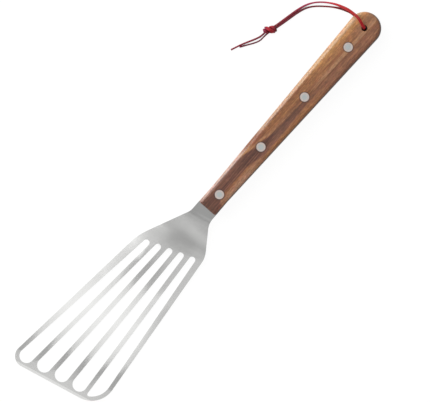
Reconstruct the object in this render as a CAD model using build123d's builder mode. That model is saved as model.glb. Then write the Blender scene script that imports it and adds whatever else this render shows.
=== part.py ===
from build123d import *
import os
from math import asin, atan2, cos, degrees, hypot, pi, radians, sin, tan

# A slotted fish spatula that lies on a table, in millimetres.
# +X runs along the tool to the butt of the handle, +Y to the edge that the lanyard leaves by, +Z up.
# The origin is on the table, on the tool's centre line, midway along its length.
# Sizes along the tool are counted from the front end of the wood, ahead into the blade or back
# into the handle, and widths from the centre line.

# Stack of the handle
wood_front = -4.1            # where the front end of the wood is along X
steel_thickness = 1.5        # tang, neck and ramp of the blade
scale_thickness = 7.5        # one wooden scale
table_gap = 1.2              # room under the handle, which the lace props up

# Handle seen from above
hole_station = 156.6         # lanyard hole, which the round butt is centred on
butt_radius = 10.9
waist_station = 12.3         # narrowest place of the handle
waist_half_width = 7.1
front_half_width = 7.25
edge_round = 2.6             # long edges of the scales
front_round = 1.2            # front edge of the scales
lace_hole_diameter = 3.6
mouth_chamfer = 0.4

# Rivets, each a barrel pressed over a post
rivet_count = 4
first_rivet = 12.2
second_rivet = 53.5
rivet_pitch = 43.35          # from the second rivet on
head_diameter = 6.2
head_depth = 1.4
barrel_diameter = 4.0
post_diameter = 2.6
rivet_clearance = 0.02       # all round a rivet in its holes, and a post in its barrel
rivet_end_gap = 0.5          # left beyond the end of a barrel and of a post

# Blade seen from above
blade_length = 152.6         # wood to front edge, along the centre line
tip_skew = 12.8              # degrees that the front edge slants from square
neck_left = 8.0              # straight neck ahead of the wood, on either side
neck_right = 6.6
shoulder_left = 42.7         # how far ahead of the wood each shoulder is
shoulder_right = 25.2
shoulder_left_width = 22.85
shoulder_right_width = 20.3
tip_left_width = 34.0
tip_right_width = 33.0
neck_left_round = 8.0
neck_right_round = 12.0
shoulder_left_round = 40.0
shoulder_right_round = 16.0
tip_left_round = 7.4
tip_right_round = 16.5

# Blade seen from the side: flat neck, bend down, straight ramp, long belly that rises to the tip
bend_start = 5.0             # flat neck ahead of the wood, along the centre line
bend_angle = 10.0            # degrees
bend_radius = 38.0           # on the hollow side
belly_radius = 400.0
belly_thickness = 1.2
grind_width = 1.7            # ground strip along the front edge
edge_thickness = 0.3

# Drainage slots, fanned out, from the left one to the right one
slot_count = 5
heel_row_length = 37.3       # wood to the heel of the middle slot
heel_row_skew = 20.5         # degrees
heel_pitch = 7.5
heel_offset = 0.35            # middle slot's heel off the centre line
heel_radius = 2.1
far_radius = 4.8
left_rim = 3.55              # metal left of the first slot's far end, measured at the tip's corner
right_rim = 2.45             # the same for the last slot
tip_rim = 3.0                # metal between the slots and the front edge
corner_rim = 2.8             # metal round the far end of the last slot
corner_round = 1.3           # inner corner of the last slot

# Lanyard: a flat leather lace, drawn here as round tubes
lace_diameter = 1.1
knot_length = 8.6
knot_diameter = 4.5
knot_face_diameter = 3.5
knot_shoulder = 1.6          # length of the knot's taper at each end

overrun = 5.0                # how far a cutting or bounding shape reaches past what it cuts

# Heights of the stack
back_face = table_gap
tang_back = back_face + scale_thickness
tang_front = tang_back + steel_thickness
front_face = tang_front + scale_thickness

handle_length = hole_station + butt_radius
rivet_stations = [first_rivet] + [second_rivet + i * rivet_pitch for i in range(rivet_count - 1)]

table = Plane((wood_front, 0, 0))
back_seat = Plane((wood_front, 0, tang_back), x_dir=(1, 0, 0), z_dir=(0, 0, -1))
front_seat = Plane((wood_front, 0, tang_front), x_dir=(1, 0, 0), z_dir=(0, 0, 1))


def handle_outline():
    """Sides and round butt of the handle, open at the front end of the wood."""
    reach = hole_station - waist_station
    flare = asin(butt_radius / hypot(reach, waist_half_width)) - atan2(waist_half_width, reach)
    half_turn = 90 + degrees(flare)
    butt = CenterArc((hole_station, 0), butt_radius, -half_turn, 2 * half_turn)
    Polyline(butt @ 1, (waist_station, waist_half_width), (0, front_half_width))
    Polyline(butt @ 0, (waist_station, -waist_half_width), (0, -front_half_width))


def tip_station(y):
    """Station of the slanted front edge at a place across the blade."""
    return -blade_length - y * tan(radians(tip_skew))


def blade_outline():
    """Neck, shoulders and tip of the blade, open at the front end of the wood."""
    FilletPolyline(
        (0, front_half_width),
        (-neck_left, front_half_width),
        (-shoulder_left, shoulder_left_width),
        (tip_station(tip_left_width), tip_left_width),
        (tip_station(-tip_right_width), -tip_right_width),
        (-shoulder_right, -shoulder_right_width),
        (-neck_right, -front_half_width),
        (0, -front_half_width),
        radius=[
            neck_left_round,
            shoulder_left_round,
            tip_left_round,
            tip_right_round,
            shoulder_right_round,
            neck_right_round,
        ],
    )


def slot_heel(i):
    """Centre of the heel end of slot i."""
    y = heel_offset + ((slot_count - 1) / 2 - i) * heel_pitch
    return (-heel_row_length - y * tan(radians(heel_row_skew)), y)


def slot_far_end(i, rim):
    """Centre of the far end of slot i, which leaves a rim of metal to the front edge."""
    first = tip_left_width - left_rim - far_radius
    last = right_rim + far_radius - tip_right_width
    y = first + (last - first) * i / (slot_count - 1)
    return (tip_station(y) + (rim + far_radius) / cos(radians(tip_skew)), y)


# Blade and tang. The sheet is bent about lines that are parallel to the slanted front edge, so its
# side view is drawn square to those lines and then carried along them.
skew = radians(tip_skew)
bend = radians(bend_angle)
side_view = Plane((wood_front, 0, 0), x_dir=(cos(skew), sin(skew), 0), z_dir=(sin(skew), -cos(skew), 0))
bend_at = -bend_start * cos(skew)
tip_at = -blade_length * cos(skew)
bend_drop = bend_radius * (1 - cos(bend))
belly_drop = belly_radius * (1 - cos(bend))
ramp_run = (tang_back - bend_drop - belly_drop) / tan(bend)
belly_at = bend_at - bend_radius * sin(bend) - ramp_run - belly_radius * sin(bend)
thinning = (steel_thickness - belly_thickness * cos(bend)) / sin(bend)
top_belly_at = belly_at - thinning
grind_runout = grind_width * edge_thickness / (belly_thickness - edge_thickness)


def belly_arc(lowest_at, lowest, end_at):
    """Arc of the belly, from the ramp to a place near the tip."""
    tip_angle = degrees(asin((lowest_at - end_at) / belly_radius))
    centre = (lowest_at, lowest + belly_radius)
    return CenterArc(centre, belly_radius, -90 + bend_angle, -bend_angle - tip_angle)


with BuildPart() as blade:
    with BuildSketch(side_view):
        with BuildLine():
            bend_centre = (bend_at, tang_back - bend_radius)
            under_bend = CenterArc(bend_centre, bend_radius, 90, bend_angle)
            over_bend = CenterArc(bend_centre, bend_radius + steel_thickness, 90, bend_angle)
            under_belly = belly_arc(belly_at, 0, tip_at - grind_runout)
            over_belly = belly_arc(top_belly_at, belly_thickness, tip_at + grind_width)
            Line(under_bend @ 1, under_belly @ 0)
            Line(over_bend @ 1, over_belly @ 0)
            Line(under_belly @ 1, over_belly @ 1)
            Polyline(
                under_bend @ 0,
                (handle_length + overrun, tang_back),
                (handle_length + overrun, tang_front),
                over_bend @ 0,
            )
        make_face()
    extrude(amount=handle_length, both=True)
    with BuildSketch(table):
        with BuildLine():
            handle_outline()
            blade_outline()
        make_face()
    extrude(amount=front_face, mode=Mode.INTERSECT)
    for i in range(slot_count - 1):
        with BuildSketch(table):
            with Locations(slot_heel(i)):
                Circle(heel_radius)
            with Locations(slot_far_end(i, tip_rim)):
                Circle(far_radius)
            make_hull()
        extrude(amount=front_face, mode=Mode.SUBTRACT)
    with BuildSketch(table) as corner_slot:
        with Locations(slot_heel(slot_count - 1)):
            Circle(heel_radius)
        with Locations(slot_far_end(slot_count - 1, -far_radius)):
            Circle(far_radius)
        make_hull()
        with BuildSketch(mode=Mode.INTERSECT):
            with BuildLine():
                blade_outline()
                Line((0, front_half_width), (0, -front_half_width))
            make_face()
            offset(amount=-corner_rim)
        fillet(corner_slot.vertices().sort_by(Axis.X)[0], radius=corner_round)
    extrude(amount=front_face, mode=Mode.SUBTRACT)
    with Locations(front_seat):
        with Locations(*[(x, 0) for x in rivet_stations]):
            Hole(barrel_diameter / 2 + rivet_clearance)
        with Locations((hole_station, 0)):
            Hole(lace_hole_diameter / 2)

blade.part.label = "blade"

os.makedirs("parts", exist_ok=True)
export_step(blade.part, "parts/blade.step")

# Wooden scales, alike on either side of the tang
for name, seat in (("front_scale", front_seat), ("back_scale", back_seat)):
    outward = Axis(seat.origin, seat.z_dir)
    with BuildPart() as scale:
        with BuildSketch(seat):
            with BuildLine():
                handle_outline()
                Line((0, front_half_width), (0, -front_half_width))
            make_face()
        extrude(amount=scale_thickness)
        rim_edges = scale.faces().sort_by(outward)[-1].edges().sort_by(Axis.X)
        fillet(rim_edges[1:], radius=edge_round)
        front_edge = scale.faces().sort_by(outward)[-1].edges().sort_by(Axis.X)[0]
        fillet(front_edge, radius=front_round)
        with Locations(seat.offset(scale_thickness)):
            with Locations(*[(x, 0) for x in rivet_stations]):
                CounterBoreHole(
                    radius=barrel_diameter / 2 + rivet_clearance,
                    counter_bore_radius=head_diameter / 2 + rivet_clearance,
                    counter_bore_depth=head_depth,
                )
            with Locations((hole_station, 0)):
                CounterSinkHole(
                    radius=lace_hole_diameter / 2,
                    counter_sink_radius=lace_hole_diameter / 2 + mouth_chamfer,
                    counter_sink_angle=90,
                )
    scale.part.label = name
    export_step(scale.part, f"parts/{name}.step")

# Rivets
barrel_end = back_face + head_depth + rivet_end_gap
post_end = front_face - head_depth - rivet_end_gap
for number, station in enumerate(rivet_stations, start=1):
    axis_x = wood_front + station
    with BuildPart() as barrel:
        with BuildSketch(Plane((axis_x, 0, front_face - head_depth))):
            Circle(head_diameter / 2)
        extrude(amount=head_depth)
        with BuildSketch(Plane((axis_x, 0, barrel_end))):
            Circle(barrel_diameter / 2)
            Circle(post_diameter / 2 + rivet_clearance, mode=Mode.SUBTRACT)
        extrude(amount=front_face - head_depth - barrel_end)
    barrel.part.label = f"rivet_{number}_barrel"
    export_step(barrel.part, f"parts/rivet_{number}_barrel.step")

    with BuildPart() as post:
        with BuildSketch(Plane((axis_x, 0, back_face))):
            Circle(head_diameter / 2)
        extrude(amount=head_depth)
        with BuildSketch(Plane((axis_x, 0, back_face + head_depth))):
            Circle(post_diameter / 2)
        extrude(amount=post_end - back_face - head_depth)
    post.part.label = f"rivet_{number}_post"
    export_step(post.part, f"parts/rivet_{number}_post.step")

# Lanyard. Each route is a list of points in the part's own frame, chosen by hand.
front_strand_route = [
    (152.5, -0.3, 9.45),
    (152.5, -0.3, 12.7),
    (152.4, -0.8, 16.3),
    (152.5, 0.9, 19.4),
    (153.1, 4.0, 21.3),
    (153.9, 8.0, 21.5),
    (154.3, 12.3, 19.3),
    (154.1, 16.4, 14.6),
    (153.2, 20.4, 8.9),
    (151.6, 24.8, 4.0),
    (149.3, 29.7, 1.0),
    (145.7, 34.4, 0.6),
    (141.2, 37.5, 0.6),
    (136.2, 39.8, 0.6),
    (128.9, 41.6, 0.6),
    (120.38, 43.87, 1.4),
    (115.58, 45.07, 1.4),
]
back_strand_route = [
    (152.5, -0.3, 9.45),
    (152.5, -0.3, 6.4),
    (152.4, -0.9, 3.4),
    (152.4, -0.8, 1.6),
    (152.5, -0.1, 0.62),
    (152.8, 1.4, 0.6),
    (153.4, 4.6, 0.6),
    (154.1, 9.6, 0.6),
    (154.0, 15.6, 0.6),
    (152.4, 21.0, 0.6),
    (149.3, 26.0, 0.6),
    (145.0, 31.4, 0.6),
    (140.2, 35.8, 0.6),
    (135.2, 38.5, 0.6),
    (128.2, 40.2, 0.6),
    (120.02, 42.43, 1.4),
    (115.22, 43.63, 1.4),
]
long_tail_route = [
    (107.24, 47.169, 1.4),
    (104.44, 47.869, 1.4),
    (100.8, 49.2, 0.8),
    (96.9, 51.1, 0.6),
    (93.4, 53.1, 0.6),
    (89.1, 54.7, 0.6),
    (84.9, 56.4, 0.6),
]
short_tail_route = [
    (106.88, 45.729, 1.4),
    (104.88, 46.229, 1.4),
    (102.0, 46.2, 0.9),
    (98.9, 47.5, 0.6),
    (95.9, 49.3, 0.6),
    (93.0, 51.1, 0.6),
    (89.8, 52.9, 0.6),
]


def corner_radii(route):
    """Largest even arcs that the runs on both sides of each corner leave room for."""
    radii = []
    for before, here, after in zip(route, route[1:], route[2:]):
        into = Vector(here) - Vector(before)
        out = Vector(after) - Vector(here)
        half_turn = radians(into.get_angle(out)) / 2
        radii.append(0.45 * min(into.length, out.length) / tan(half_turn))
    return radii


routes = {
    "lanyard_front_strand": front_strand_route,
    "lanyard_back_strand": back_strand_route,
    "lanyard_long_tail": long_tail_route,
    "lanyard_short_tail": short_tail_route,
}
for name, route in routes.items():
    radii = corner_radii(route)
    with BuildPart() as strand:
        with BuildLine() as path:
            FilletPolyline(*route, radius=radii)
        with BuildSketch(Plane(origin=path.line @ 0, z_dir=path.line % 0)):
            Circle(lace_diameter / 2)
        sweep(path=path.wire())
    section = pi * lace_diameter**2 / 4
    length = path.wire().length
    print(name, "radii", [round(r, 1) for r in radii])
    print(name, "length", round(length, 1), "volume share", round(strand.part.volume / (section * length), 4))
    strand.part.label = name
    export_step(strand.part, f"parts/{name}.step")

# Knot, as the outer shape of an overhand knot. The strands end on its near face and the tails on
# its far face.
knot_near = (115.4, 44.35, knot_diameter / 2)
knot_direction = (4, -1, 0)
knot_plane = Plane(origin=knot_near, x_dir=knot_direction, z_dir=(0, 0, 1))
with BuildPart() as knot:
    with BuildSketch(knot_plane):
        with BuildLine():
            Polyline(
                (-knot_length, 0),
                (-knot_length, knot_face_diameter / 2),
                (-knot_length + knot_shoulder, knot_diameter / 2),
                (-knot_shoulder, knot_diameter / 2),
                (0, knot_face_diameter / 2),
                (0, 0),
                close=True,
            )
        make_face()
    revolve(axis=Axis(knot_plane.origin, knot_plane.x_dir))
knot.part.label = "lanyard_knot"
export_step(knot.part, "parts/lanyard_knot.step")
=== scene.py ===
import math

import bmesh
import bpy
import numpy as np
from mathutils import Matrix, Vector


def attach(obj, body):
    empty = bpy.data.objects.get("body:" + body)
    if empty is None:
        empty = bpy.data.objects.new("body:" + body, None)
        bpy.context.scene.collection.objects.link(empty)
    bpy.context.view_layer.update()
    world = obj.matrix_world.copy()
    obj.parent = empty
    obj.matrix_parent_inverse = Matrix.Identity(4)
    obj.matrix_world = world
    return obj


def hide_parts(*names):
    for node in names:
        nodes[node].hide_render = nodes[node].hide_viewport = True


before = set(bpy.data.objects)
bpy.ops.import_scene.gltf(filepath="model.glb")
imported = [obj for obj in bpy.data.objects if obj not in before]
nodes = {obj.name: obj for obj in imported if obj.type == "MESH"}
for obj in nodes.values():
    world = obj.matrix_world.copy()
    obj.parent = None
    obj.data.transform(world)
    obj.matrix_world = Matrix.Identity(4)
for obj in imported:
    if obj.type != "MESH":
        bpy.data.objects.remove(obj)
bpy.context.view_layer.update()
scene = bpy.context.scene

MM = 0.001
RIVETS = (8.1, 49.4, 92.75, 136.1)        # stations along the handle, mm
HOLE = (152.5, 0.0)                       # the lace's hole, mm

# ---------------------------------------------------------------- camera
# The photograph looks straight down. Its right-hand side points this way in the part's frame.
PHOTO_RIGHT = (0.6579, -0.7531)
SEEN_MIDDLE = (0.00307, -0.00058)
SEEN_HEIGHT = 0.009                       # where the picture is SEEN_WIDTH across
SEEN_WIDTH = 0.28165
CAMERA_DISTANCE = 5.0
SENSOR_WIDTH = 36


def add_camera():
    data = bpy.data.cameras.new("camera")
    camera = bpy.data.objects.new("camera", data)
    scene.collection.objects.link(camera)
    data.sensor_width = SENSOR_WIDTH
    data.lens = SENSOR_WIDTH * CAMERA_DISTANCE / SEEN_WIDTH
    data.clip_start = 0.1
    data.clip_end = 100
    camera.location = (*SEEN_MIDDLE, CAMERA_DISTANCE + SEEN_HEIGHT)
    camera.rotation_euler = (0, 0, math.atan2(PHOTO_RIGHT[1], PHOTO_RIGHT[0]))
    scene.camera = camera


add_camera()

# ---------------------------------------------------------------- lanyard
LACE_WIDTH = 0.0019
KNOT_LACE = (0.0022, 0.0011)              # its width and thickness in the knot, where it is pressed
RIBBON_SIDES = 20
# The powers that make the lace's section a rounded rectangle, across it and through it.
SQUARE_ACROSS = 0.45
SQUARE_THROUGH = 0.65

# A route's points in mm, each with the way that the lace's width points there and its thickness.
FRONT_CORD = [
    ((152.5, -0.1, 9.45), (1, 0, 0), 1.0),
    ((152.5, 0.3, 12.7), (1, 0, 0), 1.0),
    ((152.5, 0.1, 15.8), (1, 0, 0), 1.1),
    ((152.4, 0.4, 19.0), (1, -0.1, 0), 1.2),
    ((153.3, 3.3, 21.3), (1, -0.15, 0), 1.2),
    ((154.9, 7.6, 21.5), (1, -0.05, 0.1), 1.2),
    ((154.9, 12.3, 19.3), (1, 0, 0.2), 1.2),
    ((154.7, 16.2, 14.6), (0.8, 0.1, 0.4), 1.2),
    ((153.7, 20.2, 8.9), (0.5, 0.2, 0.7), 1.2),
    ((152.4, 24.4, 4.4), (0.2, 0.3, 1), 1.2),
    ((150.6, 28.0, 1.8), (0, 0.15, 1), 1.1),
    ((147.7, 32.3, 1.1), (0, 0, 1), 1.05),
    ((143.9, 36.2, 1.05), (0, 0, 1), 1.05),
    ((139.3, 39.1, 1.05), (0.05, 0.05, 1), 1.25),
    ((133.7, 41.0, 1.1), (0.05, 0.1, 1), 1.4),
    ((127.5, 42.45, 1.2), (0.05, 0.1, 1), 1.45),
    ((121.0, 43.85, 1.6), (0.05, 0.05, 1), 1.45),
    ((115.8, 45.1, 2.2), (0, 0, 1), 1.4),
    ((111.4, 46.6, 2.1), (0, 0, 1), 1.2),
    ((107.6, 47.5, 1.7), (0, 0, 1), 1.2),
    ((104.0, 47.8, 1.25), (0, 0.1, 1), 1.15),
    ((99.9, 49.6, 1.1), (0, 0.1, 1), 1.15),
    ((96.2, 51.6, 1.05), (0, 0.1, 1), 1.15),
    ((92.4, 53.6, 1.05), (0, 0, 1), 1.1),
    ((88.4, 55.3, 1.05), (0, 0, 1), 1.1),
    ((84.6, 56.8, 1.05), (0, 0, 1), 1.1),
]
BACK_CORD = [
    ((152.5, -0.1, 9.45), (1, 0, 0), 1.0),
    ((152.5, -0.6, 6.4), (1, 0, 0), 1.0),
    ((152.4, -0.9, 3.4), (1, 0, 0), 1.0),
    ((152.4, -0.7, 1.5), (1, 0, 0), 1.0),
    ((152.5, 0.2, 0.58), (1, 0, 0), 0.9),
    ((152.8, 1.8, 0.58), (1, 0, 0), 0.9),
    ((153.6, 4.6, 0.58), (1, -0.1, 0), 0.9),
    ((155.0, 9.0, 0.58), (1, 0, 0), 0.9),
    ((155.1, 13.2, 0.65), (1, 0, 0.2), 1.0),
    ((153.9, 17.0, 0.85), (0.8, 0, 0.6), 1.1),
    ((152.0, 21.2, 1.05), (0.3, 0.2, 1), 1.1),
    ((149.4, 25.5, 1.05), (0, 0, 1), 1.1),
    ((145.7, 30.4, 1.05), (0, 0, 1), 1.1),
    ((142.1, 34.5, 1.05), (0, 0, 1), 1.1),
    ((137.8, 37.8, 1.05), (0, 0, 1), 1.25),
    ((132.4, 39.8, 1.1), (0, 0.1, 1), 1.35),
    ((126.3, 41.25, 1.2), (0, 0.1, 1), 1.35),
    ((119.8, 42.7, 1.6), (0, 0.05, 1), 1.35),
    ((114.9, 43.95, 2.2), (0, 0, 1), 1.35),
    ((111.0, 45.0, 2.1), (0, 0, 1), 1.1),
    ((108.0, 45.9, 1.7), (0, 0, 1), 1.0),
    ((105.0, 46.2, 1.25), (0, 0, 1), 0.95),
    ((102.0, 46.3, 1.1), (0, 0, 1), 0.95),
    ((99.2, 47.5, 1.05), (0, 0.05, 1), 0.95),
    ((96.4, 49.2, 1.05), (0, 0.05, 1), 0.95),
    ((93.1, 51.5, 1.05), (0, 0, 1), 1.0),
    ((89.7, 53.7, 1.05), (0, 0, 1), 1.1),
]

# The knot's own directions: along it (to the right in the picture) and across it (up in the picture).
KNOT_MIDDLE = np.array((111.4, 45.8, 2.3))
KNOT_ALONG = np.array((0.750, -0.661, 0))
KNOT_ACROSS = np.array((0.661, 0.750, 0))
# The lace's turns round the knot: along, across and height from its middle, in mm.
KNOT_TURNS = [
    (0.6, 0.2, -1.1),
    (0.3, 1.8, -0.9),
    (0.6, 2.3, 0.5),
    (1.9, 1.8, 1.7),
    (3.1, 0.2, 1.7),
    (3.2, -1.0, 0.5),
    (2.5, -1.2, -0.9),
    (1.0, -0.4, -1.7),
    (-1.2, 1.0, -1.6),
    (-2.5, 2.1, -0.6),
    (-2.8, 2.2, 0.9),
    (-1.7, 1.1, 2.3),
    (0.0, 0.0, 2.6),
    (1.5, -1.1, 2.0),
    (2.1, -1.8, 0.5),
    (1.4, -1.6, -0.9),
    (-0.6, -0.7, -1.7),
    (-2.6, 0.3, -1.6),
    (-3.6, 1.0, -0.6),
    (-3.9, 0.9, 0.9),
    (-3.7, -0.2, 1.6),
    (-3.4, -1.2, 0.7),
    (-2.7, -1.3, -0.6),
    (-1.8, -0.5, -1.2),
]


def smooth_line(name, points):
    """Points along the smooth curve that has these control points."""
    curve = bpy.data.curves.new(name, "CURVE")
    curve.dimensions = "3D"
    curve.resolution_u = 10
    spline = curve.splines.new("NURBS")
    spline.points.add(len(points) - 1)
    for point, place in zip(spline.points, points):
        point.co = (*place, 1)
    spline.order_u = 3
    spline.use_endpoint_u = True
    carrier = bpy.data.objects.new(name, curve)
    scene.collection.objects.link(carrier)
    mesh = bpy.data.meshes.new_from_object(carrier)
    line = np.array([v.co for v in mesh.vertices], float)
    bpy.data.objects.remove(carrier)
    bpy.data.meshes.remove(mesh)
    apart = np.linalg.norm(np.diff(line, axis=0), axis=1) > 1e-7
    return line[np.r_[True, apart]]


def values_along(line, places, values):
    """Each value at each point of the line, shared out between the two nearest points of its route."""
    found = []
    last = 0
    for point in line:
        best = None
        for i in range(last, min(last + 3, len(places) - 1)):
            a, b = places[i], places[i + 1]
            share = np.clip((point - a) @ (b - a) / ((b - a) @ (b - a)), 0, 1)
            gap = np.linalg.norm(a + share * (b - a) - point)
            if best is None or gap < best[0] - 1e-9:
                best = (gap, i, share)
        _, last, share = best
        found.append((1 - share) * values[last] + share * values[last + 1])
    return np.array(found)


def squared(wave, power):
    """Half the wave, its round tops flattened by the power."""
    return np.sign(wave) * np.abs(wave) ** power / 2


def add_ribbon(name, line, sides, width, thickness):
    """A closed flat lace along a line. Its width lies along sides; its edges are rounded."""
    tangent = np.gradient(line, axis=0)
    tangent /= np.linalg.norm(tangent, axis=1)[:, None]
    side = sides - (sides * tangent).sum(1)[:, None] * tangent
    side /= np.linalg.norm(side, axis=1)[:, None]
    flat = np.cross(tangent, side)
    width = np.broadcast_to(width, len(line))
    thickness = np.broadcast_to(thickness, len(line))
    turn = np.linspace(0, 2 * math.pi, RIBBON_SIDES, endpoint=False)
    across = squared(np.cos(turn), SQUARE_ACROSS)
    through = squared(np.sin(turn), SQUARE_THROUGH)
    mesh = bmesh.new()
    rings = []
    for i, point in enumerate(line):
        section = np.outer(across * width[i], side[i]) + np.outer(through * thickness[i], flat[i])
        rings.append([mesh.verts.new(point + offset) for offset in section])
    for one, two in zip(rings, rings[1:]):
        for k in range(RIBBON_SIDES):
            after = (k + 1) % RIBBON_SIDES
            mesh.faces.new((one[k], one[after], two[after], two[k]))
    mesh.faces.new(rings[0][::-1])
    mesh.faces.new(rings[-1])
    bmesh.ops.recalc_face_normals(mesh, faces=mesh.faces)
    data = bpy.data.meshes.new(name)
    mesh.to_mesh(data)
    mesh.free()
    for face in data.polygons:
        face.use_smooth = len(face.vertices) == 4
    piece = bpy.data.objects.new(name, data)
    scene.collection.objects.link(piece)
    return piece


def add_cord(name, route):
    places, sides, thickness = (np.array(column, float) for column in zip(*route))
    places *= MM
    line = smooth_line(name + "_line", places)
    sides = values_along(line, places, sides)
    thickness = values_along(line, places, thickness) * MM
    return add_ribbon(name, line, sides, LACE_WIDTH, thickness), line


def add_knot():
    """The lace wound round its two strands, drawn tight, broad side out."""
    turns = np.array(KNOT_TURNS)
    places = KNOT_MIDDLE + turns[:, :1] * KNOT_ALONG + turns[:, 1:2] * KNOT_ACROSS
    places[:, 2] += turns[:, 2]
    line = smooth_line("knot_line", places * MM)
    out = line - KNOT_MIDDLE * MM
    out -= (out @ KNOT_ALONG)[:, None] * KNOT_ALONG
    sides = np.cross(np.gradient(line, axis=0), out)
    return add_ribbon("lace_knot", line, sides, *KNOT_LACE)


front_lace, front_line = add_cord("lace_front", FRONT_CORD)
back_lace, back_line = add_cord("lace_back", BACK_CORD)
knot = add_knot()

for piece, replaced in (
    (front_lace, ("lanyard_front_strand", "lanyard_long_tail")),
    (back_lace, ("lanyard_back_strand", "lanyard_short_tail")),
    (knot, ("lanyard_knot",)),
):
    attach(piece, "root")
    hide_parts(*replaced)


# ---------------------------------------------------------------- materials
# Places on the pieces are in mm in the part's frame: x along the handle, y across it and z up.
PER_MM = (1000, 1000, 1000)
BUMP_DEPTH = 0.0001
# The way across the blade, and across its scratches, in which they spread a reflection.
SPREAD = (-0.139, 0.990)
KNOT_SPAN = 4.5                           # from the knot's middle to its ends, mm
LACE_SPAN = (84, 155)                     # the lace's far end and its turn at the hole, along x, mm


class Shader:
    """A material's nodes, by short calls."""

    def __init__(self, name):
        self.material = bpy.data.materials.new(name)
        self.material.use_nodes = True
        self.tree = self.material.node_tree
        self.tree.nodes.clear()
        self.out = self.add("OutputMaterial")
        self.bsdf = self.add("BsdfPrincipled")
        self.tree.links.new(self.bsdf.outputs[0], self.out.inputs[0])
        self.place = self.add("TexCoord").outputs["Object"]

    def add(self, kind):
        return self.tree.nodes.new("ShaderNode" + kind)

    def feed(self, socket, value):
        if isinstance(value, bpy.types.NodeSocket):
            self.tree.links.new(value, socket)
        else:
            socket.default_value = value

    def feed_colour(self, socket, value):
        self.feed(socket, (*value, 1) if isinstance(value, tuple) else value)

    def scaled(self, scale, source=None, turn=(0, 0, 0), shift=(0, 0, 0)):
        node = self.add("Mapping")
        self.feed(node.inputs["Vector"], source or self.place)
        node.inputs["Scale"].default_value = scale
        node.inputs["Rotation"].default_value = turn
        node.inputs["Location"].default_value = shift
        return node.outputs[0]

    def noise(self, scale, detail, rough, source=None, turn=(0, 0, 0), shift=(0, 0, 0)):
        """Noise from 0 to 1, with scale waves along each axis to a unit of the source."""
        node = self.add("TexNoise")
        self.feed(node.inputs["Vector"], self.scaled(scale, source, turn, shift))
        node.inputs["Scale"].default_value = 1.0
        node.inputs["Detail"].default_value = detail
        node.inputs["Roughness"].default_value = rough
        return node.outputs["Fac"]

    def ramp(self, factor, stops):
        node = self.add("ValToRGB")
        self.feed(node.inputs[0], factor)
        elements = node.color_ramp.elements
        elements.remove(elements[-1])
        for i, (place, colour) in enumerate(stops):
            element = elements[0] if i == 0 else elements.new(place)
            element.position = place
            element.color = (*colour, 1)
        return node.outputs[0]

    def mix(self, factor, a, b, kind="MIX"):
        node = self.add("Mix")
        node.data_type = "RGBA"
        node.blend_type = kind
        self.feed(node.inputs[0], factor)
        self.feed_colour(node.inputs[6], a)
        self.feed_colour(node.inputs[7], b)
        return node.outputs[2]

    def shade(self, factor, colour, by):
        """The colour multiplied by another, as far as the factor says."""
        return self.mix(factor, colour, by, "MULTIPLY")

    def math(self, kind, a, b=0.0):
        node = self.add("Math")
        node.operation = kind
        self.feed(node.inputs[0], a)
        self.feed(node.inputs[1], b)
        return node.outputs[0]

    def plus(self, value, *others):
        for other in others:
            value = self.math("ADD", value, other)
        return value

    def minus(self, a, b):
        return self.math("SUBTRACT", a, b)

    def times(self, value, *others):
        for other in others:
            value = self.math("MULTIPLY", value, other)
        return value

    def remap(self, value, low, high, to_low=0.0, to_high=1.0, kind="LINEAR"):
        """From to_low, where the value is low, to to_high, where it is high, in a straight line."""
        node = self.add("MapRange")
        node.interpolation_type = kind
        for socket, v in zip(node.inputs, (value, low, high, to_low, to_high)):
            self.feed(socket, v)
        return node.outputs[0]

    def ease(self, value, low, high, to_low=0.0, to_high=1.0):
        """The same with soft ends."""
        return self.remap(value, low, high, to_low, to_high, "SMOOTHSTEP")

    def split(self, vector):
        node = self.add("SeparateXYZ")
        self.feed(node.inputs[0], vector)
        return node.outputs

    def join(self, *values):
        node = self.add("CombineXYZ")
        for socket, value in zip(node.inputs, values):
            self.feed(socket, value)
        return node.outputs[0]

    def ellipse(self, x, y, centre, radii):
        """0 in the middle of an upright ellipse, 1 on its edge and more outside it."""
        across = [self.math("DIVIDE", self.minus(v, c), r) for v, c, r in zip((x, y), centre, radii)]
        return self.plus(*(self.math("POWER", share, 2.0) for share in across))

    def distance(self, x, y, centre):
        """Distance from an upright axis."""
        return self.math("SQRT", self.ellipse(x, y, centre, (1.0, 1.0)))

    def bump(self, height, strength):
        node = self.add("Bump")
        self.feed(node.inputs["Height"], height)
        node.inputs["Strength"].default_value = strength
        node.inputs["Distance"].default_value = BUMP_DEPTH
        return node.outputs[0]

    def set(self, **values):
        names = {
            "colour": "Base Color",
            "metal": "Metallic",
            "rough": "Roughness",
            "normal": "Normal",
            "tangent": "Tangent",
            "specular": "Specular IOR Level",
            "coat": "Coat Weight",
            "coat_rough": "Coat Roughness",
            "anisotropy": "Anisotropic",
        }
        for key, value in values.items():
            self.feed(self.bsdf.inputs[names[key]], value)
        return self.material


def srgb(red, green, blue):
    """Linear colour of an 8-bit screen colour."""
    def one(value):
        value /= 255
        return value / 12.92 if value <= 0.04045 else ((value + 0.055) / 1.055) ** 2.4
    return (one(red), one(green), one(blue))


def grey(level):
    return (level, level, level)


def darker(colour, share):
    return tuple(channel * share for channel in colour)


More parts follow.
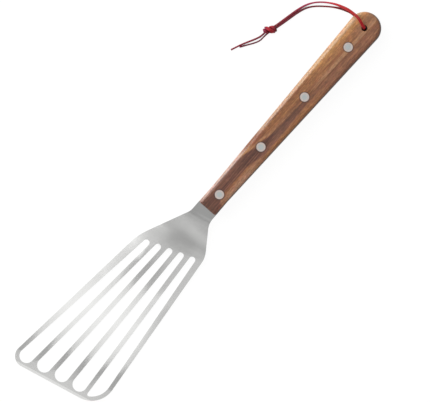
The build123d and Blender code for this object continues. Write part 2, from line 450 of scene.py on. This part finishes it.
def steel(name, base, rough):
    """Brushed steel, with painted shade and painted highlights at the places that the photograph shows
    duller or brighter.
    """
    s = Shader(name)
    scratch = s.noise((260, 9000, 9000), 2.0, 0.6)
    blot = s.noise((70, 110, 110), 2.0, 0.5)
    colour = s.mix(s.remap(blot, 0.3, 0.7), darker(base, 0.95), base)
    colour = s.mix(s.remap(scratch, 0.35, 0.7, 0, 0.5), colour, darker(base, 0.88))
    x, y, _ = s.split(s.scaled(PER_MM))
    # painted shade: the steel is near black round the lace's hole, where hardly any light gets in
    colour = s.mix(s.remap(s.distance(x, y, HOLE), 2.4, 2.9, 1.0, 0.0), colour, (0.02, 0.015, 0.015))
    # painted shade at the bend of the neck and in the middle of the ramp in front of it; the bend is
    # also a little rougher
    bend_shade_and_rough = s.times(s.ease(x, -8.5, -12.5), s.ease(x, -20.5, -15.0))
    colour = s.shade(bend_shade_and_rough, colour, grey(0.86))
    # painted shade in the middle of the ramp
    ramp = s.ease(s.ellipse(x, y, (-32.0, -2.0), (8.0, 10.0)), 0.0, 1.6, 1.0, 0.0)
    colour = s.shade(ramp, colour, grey(0.89))
    # painted highlight: a little brighter round the roots of the bars on the +Y side
    roots_highlight = s.times(s.ease(x, -28, -38), s.ease(x, -62, -52), s.ease(y, 4, 13))
    colour = s.shade(roots_highlight, colour, grey(1.12))
    roughness = s.remap(scratch, 0.3, 0.7, rough - 0.02, rough + 0.03)
    roughness = s.plus(roughness, s.times(bend_shade_and_rough, 0.10))
    return s.set(colour=colour, metal=1.0, rough=roughness, anisotropy=0.6, tangent=s.join(*SPREAD, 0.0))


def sapwood(s, x, y, tone, seam):
    """Golden sapwood."""
    colour = s.ramp(tone, [
        (0.34, srgb(104, 63, 39)),
        (0.44, srgb(140, 88, 54)),
        (0.52, srgb(161, 106, 65)),
        (0.64, srgb(194, 139, 87)),
    ])
    # pinkish below the long seam, golden along the upper edge of the butt
    below = s.times(s.ease(s.minus(seam, y), 0.0, 1.2, 0, 0.6), s.remap(x, 88, 112))
    colour = s.mix(below, colour, srgb(134, 88, 68))
    golden = s.times(s.ease(y, 3.4, 6.9, 0, 0.9), s.remap(x, 95, 116))
    colour = s.mix(golden, colour, srgb(204, 145, 86))
    # a reddish spot over the second rivet
    spot = s.ellipse(x, y, (52.8, 5.4), (7.0, 2.1))
    colour = s.mix(s.remap(spot, 0.4, 1.6, 0.8, 0.0), colour, srgb(134, 76, 50))
    # paler along the lower edge next to the blade
    light = s.times(s.ease(y, -2.4, -3.4, 0, 0.5), s.remap(x, 60, 30))
    colour = s.mix(light, colour, srgb(164, 120, 96))
    light = s.times(s.ease(y, -4.2, -5.2, 0, 0.6), s.remap(x, 40, 26), s.remap(x, 6, 13))
    colour = s.mix(light, colour, srgb(190, 148, 118))
    # a pale line above the long seam, broad at the butt
    above = s.minus(y, seam)
    light = s.times(s.ease(above, 0.2, 0.7, 0, 0.65), s.ease(above, 3.8, 1.2), s.remap(x, 96, 114))
    colour = s.mix(light, colour, srgb(184, 138, 104))
    light = s.times(s.ease(above, 0.2, 0.8, 0, 0.5), s.ease(y, 5.0, 3.4), s.remap(x, 140, 150))
    colour = s.mix(light, colour, srgb(178, 130, 94))
    # darker along the upper edge next to the second and third rivets
    beside = s.times(s.ease(y, 2.2, 3.4), s.ease(y, 6.4, 5.6))
    dark = s.times(beside, s.remap(x, 52, 62), s.remap(x, 128, 104), 0.85)
    return s.shade(dark, colour, (0.80, 0.75, 0.73))


def heartwood(s, x, y, tone):
    """Dark, purplish heartwood: darkest next to the blade, browner towards the butt."""
    colour = s.ramp(tone, [
        (0.36, srgb(58, 33, 27)),
        (0.48, srgb(96, 58, 46)),
        (0.62, srgb(146, 95, 74)),
    ])
    colour = s.mix(s.remap(x, 54, 64, 0, 0.4), colour, srgb(126, 86, 68))
    colour = s.mix(s.remap(x, -4, 5, 0.5, 0.0), colour, srgb(80, 50, 42))
    dark = s.times(s.ease(y, 1.0, 2.6), s.remap(x, 14, 22), 0.35)
    return s.mix(dark, colour, srgb(80, 48, 40))


def walnut(name):
    """Walnut: golden sapwood over dark heartwood that thins out towards the butt."""
    s = Shader(name)
    mm = s.scaled(PER_MM)
    x, y, z = s.split(mm)
    # the grain runs almost along the handle and wanders a little
    wander = s.times(s.minus(s.noise((0.012, 0.03, 0.03), 2.0, 0.5, mm), 0.5), 7.0)
    grain = s.join(x, s.plus(y, wander), z)
    turn = (0, 0, math.radians(2.5))
    bands = s.noise((0.010, 0.36, 0.25), 2.0, 0.55, grain, turn)
    streaks = s.noise((0.04, 1.3, 0.9), 3.0, 0.6, grain, turn)
    fibre = s.noise((0.20, 5.0, 4.0), 2.0, 0.6, grain, turn)
    mottle = s.noise((0.40, 1.1, 1.1), 3.0, 0.6, mm)
    tint = s.noise((0.20, 0.45, 0.45), 2.0, 0.5, mm, shift=(7, 3, 1))
    tone = s.plus(s.times(bands, 0.58), s.times(streaks, 0.42))

    # the heartwood lies between an upper and a lower border, which waver with the streaks
    seam = s.remap(x, 95, 155, -1.9, -3.1)
    waver = s.times(s.minus(streaks, 0.5), 3.0)
    upper = s.plus(
        s.ease(x, 26, 52, 8.0, 2.6), s.ease(x, 52, 62, 0, -1.9), s.remap(x, 62, 120, -0.4, -3.6)
    )
    lower = s.plus(
        s.remap(x, 34, 46, -2.5, -5.7), s.remap(x, 60, 100, 0, 0.6), s.ease(x, 0, 9, -5.0, 0.6)
    )
    above = s.plus(s.minus(y, upper), waver)
    inside = s.times(
        s.ease(above, -0.9, 0.5, 1, 0),
        s.ease(s.plus(s.minus(y, lower), waver), -0.7, 1.0),
        s.remap(x, 74, 120, 0.95, 0.0),
    )
    colour = s.mix(inside, sapwood(s, x, y, tone, seam), heartwood(s, x, y, tone))
    # a pale flame along the heartwood's upper border
    flame = s.times(
        s.ease(above, 0.0, 0.6),
        s.ease(above, 1.0, 2.4, 0.6, 0.0),
        s.remap(x, 34, 44),
        s.remap(x, 72, 96, 1.0, 0.0),
    )
    colour = s.mix(flame, colour, srgb(178, 128, 92))
    # the long seam itself
    line = s.ease(s.math("ABSOLUTE", s.minus(y, seam)), 0.1, 0.6, 0.35, 0.0)
    colour = s.mix(s.times(line, s.remap(x, 95, 110)), colour, srgb(104, 66, 48))

    # pale sapwood with a painted highlight along the rounded +Y edge, which faces the light: sharp by
    # the blade, soft towards the butt
    sharp = s.times(s.ease(y, 5.4, 6.4, 0, 0.85), s.remap(x, 44, 35), s.remap(x, -4, 3, 0.6, 1.0))
    soft = s.ease(s.minus(y, s.remap(x, 60, 130, 0, 0.7)), 6.5, 7.5, 0, 0.65)
    pale_sapwood_and_highlight = s.math("MAXIMUM", sharp, s.times(soft, s.remap(x, 52, 60)))
    edge = s.ramp(s.remap(x, 20, 110), [(0.0, srgb(206, 170, 156)), (1.0, srgb(206, 168, 130))])
    colour = s.mix(s.times(pale_sapwood_and_highlight, s.ease(z, 13.0, 15.6)), colour, edge)

    # painted shade: the scales are darker on their -Y side and round the butt, where they face away from
    # the light
    facing_x, facing_y, facing_z = s.split(s.add("TexCoord").outputs["Normal"])
    turned = s.minus(s.times(facing_x, 0.55), s.times(facing_y, 0.85))
    colour = s.mix(s.ease(turned, 0.45, 0.85, 0, 0.6), colour, srgb(66, 38, 28))
    # painted shade: a dark line where the rounded edge turns down, but not on the +Y side, which faces
    # the light
    down = s.times(s.ease(facing_z, 0.85, 0.60), s.remap(facing_z, 0.05, 0.25))
    rim = s.times(down, s.ease(turned, 0.15, 0.40, 0, 0.65))
    colour = s.mix(rim, colour, srgb(46, 24, 20))

    # mottling, olive and pink tints, fibres and open pores
    mottled = s.ramp(mottle, [
        (0.32, (0.64, 0.62, 0.60)),
        (0.50, grey(1.0)),
        (0.68, grey(1.42)),
    ])
    colour = s.shade(0.7, colour, mottled)
    colour = s.shade(s.remap(tint, 0.52, 0.70, 0.0, 0.5), colour, (0.95, 1.02, 0.82))
    colour = s.shade(s.remap(tint, 0.46, 0.30, 0.0, 0.6), colour, (1.12, 0.90, 1.00))
    colour = s.mix(s.remap(fibre, 0.40, 0.68, 0.0, 0.30), colour, srgb(88, 50, 34))
    pores = s.remap(s.noise((0.5, 8, 8), 1.0, 0.5, grain, turn), 0.64, 0.74, 0, 0.6)
    colour = s.mix(pores, colour, srgb(56, 32, 26))
    # painted shade round the rivets and in the lace's hole
    for station in RIVETS:
        shade_near = s.ease(s.distance(x, y, (station, 0.0)), 3.1, 4.0, 0.66, 0.0)
        colour = s.mix(shade_near, colour, srgb(48, 28, 30))
    shade_near = s.ease(s.distance(x, y, HOLE), 1.6, 1.95, 0.88, 0.0)
    colour = s.mix(shade_near, colour, srgb(24, 12, 12))
    relief = s.bump(s.minus(s.times(fibre, 0.35), pores), 0.2)
    roughness = s.remap(fibre, 0.3, 0.7, 0.40, 0.50)
    return s.set(colour=colour, rough=roughness, normal=relief, specular=0.4, coat=0.3, coat_rough=0.24)


def rivet_finish(name, base, rough):
    """Sanded heads, faintly blotched, with painted shade at the rim."""
    s = Shader(name)
    mm = s.scaled(PER_MM)
    x, y, _ = s.split(mm)
    nearest = s.distance(x, y, (RIVETS[0], 0.0))
    for station in RIVETS[1:]:
        nearest = s.math("MINIMUM", nearest, s.distance(x, y, (station, 0.0)))
    blot = s.noise((9, 9, 9), 2.0, 0.6, mm)
    colour = s.mix(s.remap(blot, 0.35, 0.7, 0, 0.6), base, darker(base, 0.84))
    colour = s.mix(s.ease(nearest, 1.4, 2.3, 0.0, 0.9), colour, (0.90, 0.77, 0.71))
    # painted shade round the rim of each head
    colour = s.mix(s.ease(nearest, 2.8, 3.1, 0.0, 0.75), colour, (0.24, 0.18, 0.16))
    return s.set(colour=colour, metal=1.0, rough=s.remap(blot, 0.3, 0.7, rough - 0.04, rough + 0.04))


def leather(name, colours, span=None):
    """Dyed leather with painted light and shade. The colours run along it from the tail's end to the
    hole, or along the knot.
    """
    s = Shader(name)
    x, y, _ = s.split(s.scaled(PER_MM))
    if span:
        way = s.plus(*(s.times(v, float(part)) for v, part in zip((x, y), KNOT_ALONG)))
        middle = float(KNOT_MIDDLE @ KNOT_ALONG)
        share = s.remap(way, middle - span, middle + span)
    else:
        share = s.remap(x, *LACE_SPAN)
    grain = s.noise((2600, 2600, 2600), 3.0, 0.6)
    worn = s.noise((330, 330, 330), 2.0, 0.5)
    colour = s.ramp(share, [(place, srgb(*shade)) for place, shade in colours])
    if not span:
        # painted shade: darker over the handle's edge
        shade_over_handle = s.times(s.remap(y, 1, 6, 0.0, 0.6), s.remap(y, 16, 27, 1.0, 0.0))
        colour = s.shade(shade_over_handle, colour, (0.42, 0.34, 0.30))
    colour = s.shade(s.remap(worn, 0.40, 0.66, 0, 0.35), colour, (0.55, 0.42, 0.50))
    colour = s.shade(s.remap(grain, 0.4, 0.7, 0, 0.30), colour, (0.45, 0.40, 0.42))
    roughness = s.remap(grain, 0.3, 0.7, 0.46, 0.60)
    return s.set(colour=colour, rough=roughness, specular=0.22, normal=s.bump(grain, 0.3))


def dress(piece, material):
    piece.data.materials.clear()
    piece.data.materials.append(material)


blade_steel = steel("blade_steel", (0.74, 0.74, 0.73), 0.09)
rivet_metal = rivet_finish("rivet_metal", (0.74, 0.78, 0.77), 0.34)
handle_wood = walnut("handle_wood")
# the lace's red with painted light and shade along it, brightest by the hole
front_leather = leather("lace_leather_front", [
    (0.0, (140, 26, 50)),
    (0.16, (144, 26, 48)),
    (0.32, (118, 18, 44)),
    (0.42, (142, 58, 62)),
    (0.66, (142, 44, 60)),
    (0.80, (172, 44, 84)),
    (0.90, (180, 44, 78)),
    (0.96, (194, 34, 46)),
    (1.0, (196, 30, 26)),
])
# the same lace's colours made darker: painted shade on the strand that lies behind and under
shaded_back_leather = leather("lace_leather_back_shaded", [
    (0.0, (116, 24, 46)),
    (0.32, (104, 20, 42)),
    (0.45, (120, 34, 50)),
    (0.75, (104, 28, 40)),
    (1.0, (150, 30, 30)),
])
# the knot's red, with painted shade towards its right-hand end
knot_leather = leather("lace_leather_knot", [
    (0.0, (146, 56, 84)),
    (0.18, (150, 40, 62)),
    (0.32, (176, 30, 42)),
    (0.60, (166, 40, 50)),
    (0.78, (150, 46, 58)),
    (0.92, (96, 14, 24)),
], span=KNOT_SPAN)

dress(nodes["blade"], blade_steel)
for name in ("front_scale", "back_scale"):
    dress(nodes[name], handle_wood)
for name, node in nodes.items():
    if name.startswith("rivet_"):
        dress(node, rivet_metal)
dress(front_lace, front_leather)
dress(back_lace, shaded_back_leather)
dress(knot, knot_leather)


# ---------------------------------------------------------------- floor, world and lights
def add_floor():
    """White paper. The camera and the steel see it white; it keeps a faint shadow of the spatula."""
    mesh = bmesh.new()
    bmesh.ops.create_grid(mesh, x_segments=1, y_segments=1, size=15)
    data = bpy.data.meshes.new("floor")
    mesh.to_mesh(data)
    mesh.free()
    floor = bpy.data.objects.new("floor", data)
    scene.collection.objects.link(floor)
    floor.location.z = -0.00002
    s = Shader("floor")
    link = s.tree.links.new
    s.tree.nodes.remove(s.bsdf)
    ray = s.add("LightPath").outputs
    seen = s.math("MAXIMUM", ray["Is Camera Ray"], ray["Is Glossy Ray"])
    seen = s.math("MAXIMUM", seen, ray["Is Transmission Ray"])
    paper = s.add("BsdfDiffuse")
    paper.inputs["Color"].default_value = (*grey(0.86), 1)
    shaded = s.add("BsdfDiffuse")
    shaded.inputs["Color"].default_value = (*grey(0.12), 1)
    glow = s.add("Emission")
    glow.inputs["Color"].default_value = (*grey(1.0), 1)
    # no glow at the bottom of the lace's hole, where hardly any light gets in
    open_sky = s.add("AmbientOcclusion")
    open_sky.inputs["Distance"].default_value = 0.03
    s.feed(glow.inputs["Strength"], s.remap(open_sky.outputs["AO"], 0.06, 0.20, 0.0, 0.925))
    both = s.add("AddShader")
    link(shaded.outputs[0], both.inputs[0])
    link(glow.outputs[0], both.inputs[1])
    choice = s.add("MixShader")
    link(seen, choice.inputs[0])
    link(paper.outputs[0], choice.inputs[1])
    link(both.outputs[0], choice.inputs[2])
    link(choice.outputs[0], s.out.inputs[0])
    data.materials.append(s.material)


def add_world():
    """A grey studio, brighter towards the side that the light comes from (+Y) than on the other side."""
    world = bpy.data.worlds.new("studio")
    scene.world = world
    world.use_nodes = True
    tree = world.node_tree
    tree.nodes.clear()
    out = tree.nodes.new("ShaderNodeOutputWorld")
    back = tree.nodes.new("ShaderNodeBackground")
    place = tree.nodes.new("ShaderNodeTexCoord")
    split = tree.nodes.new("ShaderNodeSeparateXYZ")
    tree.links.new(place.outputs["Generated"], split.inputs[0])
    height = tree.nodes.new("ShaderNodeValToRGB")
    tree.links.new(split.outputs["Z"], height.inputs[0])
    stops = height.color_ramp.elements
    stops[1].position = 0.97
    for stop, level in zip(stops, (0.77, 0.53)):
        stop.color = (*grey(level), 1)
    for position, level in ((0.55, 0.75), (0.80, 0.68), (0.94, 0.54)):
        stops.new(position).color = (*grey(level), 1)
    turned = tree.nodes.new("ShaderNodeMath")
    turned.operation = "MULTIPLY_ADD"
    tree.links.new(split.outputs["X"], turned.inputs[0])
    turned.inputs[1].default_value = -0.25
    tree.links.new(split.outputs["Y"], turned.inputs[2])
    side = tree.nodes.new("ShaderNodeMapRange")
    side.interpolation_type = "SMOOTHSTEP"
    tree.links.new(turned.outputs[0], side.inputs["Value"])
    side.inputs["From Min"].default_value = -1.0
    side.inputs["From Max"].default_value = 1.0
    side.inputs["To Min"].default_value = 0.6
    side.inputs["To Max"].default_value = 1.1
    tree.links.new(height.outputs[0], back.inputs["Color"])
    tree.links.new(side.outputs[0], back.inputs["Strength"])
    tree.links.new(back.outputs[0], out.inputs[0])


# The belly of the blade is a hollow mirror, level at BELLY, which shows a light over it upside down.
BELLY = Vector((-0.1006, 0.0))
BELLY_LIGHT_HEIGHT = 0.40
LIGHT_LENGTH = Vector(SPREAD)
LIGHT_WIDTH = Vector((SPREAD[1], -SPREAD[0]))
WATTS = 4                                 # for a radiance of 1 over a square metre


def add_light(name, at, toward, size, radiance, spread=180, glossy=True, diffuse=True):
    """A rectangular softbox. Its size is along its local X and Y; spread is the angle that it lights."""
    data = bpy.data.lights.new(name, "AREA")
    data.shape = "RECTANGLE"
    data.size, data.size_y = size
    data.spread = math.radians(spread)
    data.energy = radiance * WATTS * size[0] * size[1]
    if spread < 180:
        # a narrow light is made brighter for the same energy, which this takes back
        half = math.radians(spread) / 2
        data.energy *= (math.tan(half) - half) / math.tan(half)
    light = bpy.data.objects.new(name, data)
    scene.collection.objects.link(light)
    light.location = at
    light.rotation_euler = (Vector(at) - Vector(toward)).to_track_quat("Z", "Y").to_euler()
    light.visible_camera = False
    light.visible_glossy = glossy
    light.visible_diffuse = diffuse
    return light


def add_belly_light(name, across, along, size, aim, radiance, spread):
    """A light over the belly; its place, size and aim are along LIGHT_WIDTH and LIGHT_LENGTH."""
    centre = Vector((*(BELLY + across * LIGHT_WIDTH + along * LIGHT_LENGTH), BELLY_LIGHT_HEIGHT))
    target = Vector((*(BELLY + aim[0] * LIGHT_WIDTH + aim[1] * LIGHT_LENGTH), 0.0))
    light = add_light(name, centre, target, size, radiance, spread)
    out = (centre - target).normalized()
    wide = Vector((*LIGHT_WIDTH, 0))
    wide = (wide - wide.dot(out) * out).normalized()
    light.rotation_euler = Matrix((wide, out.cross(wide), out)).transposed().to_euler()


add_floor()
add_world()
# These show in the steel: the bright and the dark stretches of the bars follow their edges.
for light in (
    ("belly", -0.0082, 0.045, (0.0545, 0.15), (0.002, 0.005), 0.82, 36),
    ("tip", 0.0520, 0.010, (0.045, 0.13), (-0.050, 0.0), 0.32, 44),
    ("heel", -0.062, 0.040, (0.016, 0.12), (0.050, 0.010), 0.16, 80),
    ("heel_left", -0.0525, 0.0535, (0.037, 0.093), (0.045, 0.020), 0.60, 80),
    ("heel_right", -0.049, -0.0565, (0.042, 0.075), (0.045, -0.020), 0.27, 80),
    ("shoulder", -0.090, 0.020, (0.030, 0.060), (0.060, 0.015), 0.48, 80),
):
    add_belly_light(*light)
# This one shows in the ground front edge.
add_light("front_edge", (-0.575, -0.094, 0.567), (-0.156, 0, 0), (0.16, 0.14), 0.62, spread=24)
# The main light is low on the +Y side, as the pale left edge of the handle shows.
add_light("main", (-0.10, 0.95, 0.22), (0.05, 0, 0.01), (1.4, 0.30), 3.8, glossy=False)
add_light("side", (0.08, 0.66, 0.68), (0.08, 0, 0.01), (0.36, 0.85), 3.4, diffuse=False)
add_light("upper", (0.0, 0.7, 1.3), (0.03, 0, 0), (1.4, 0.9), 1.3, glossy=False)

scene.view_settings.view_transform = "Standard"
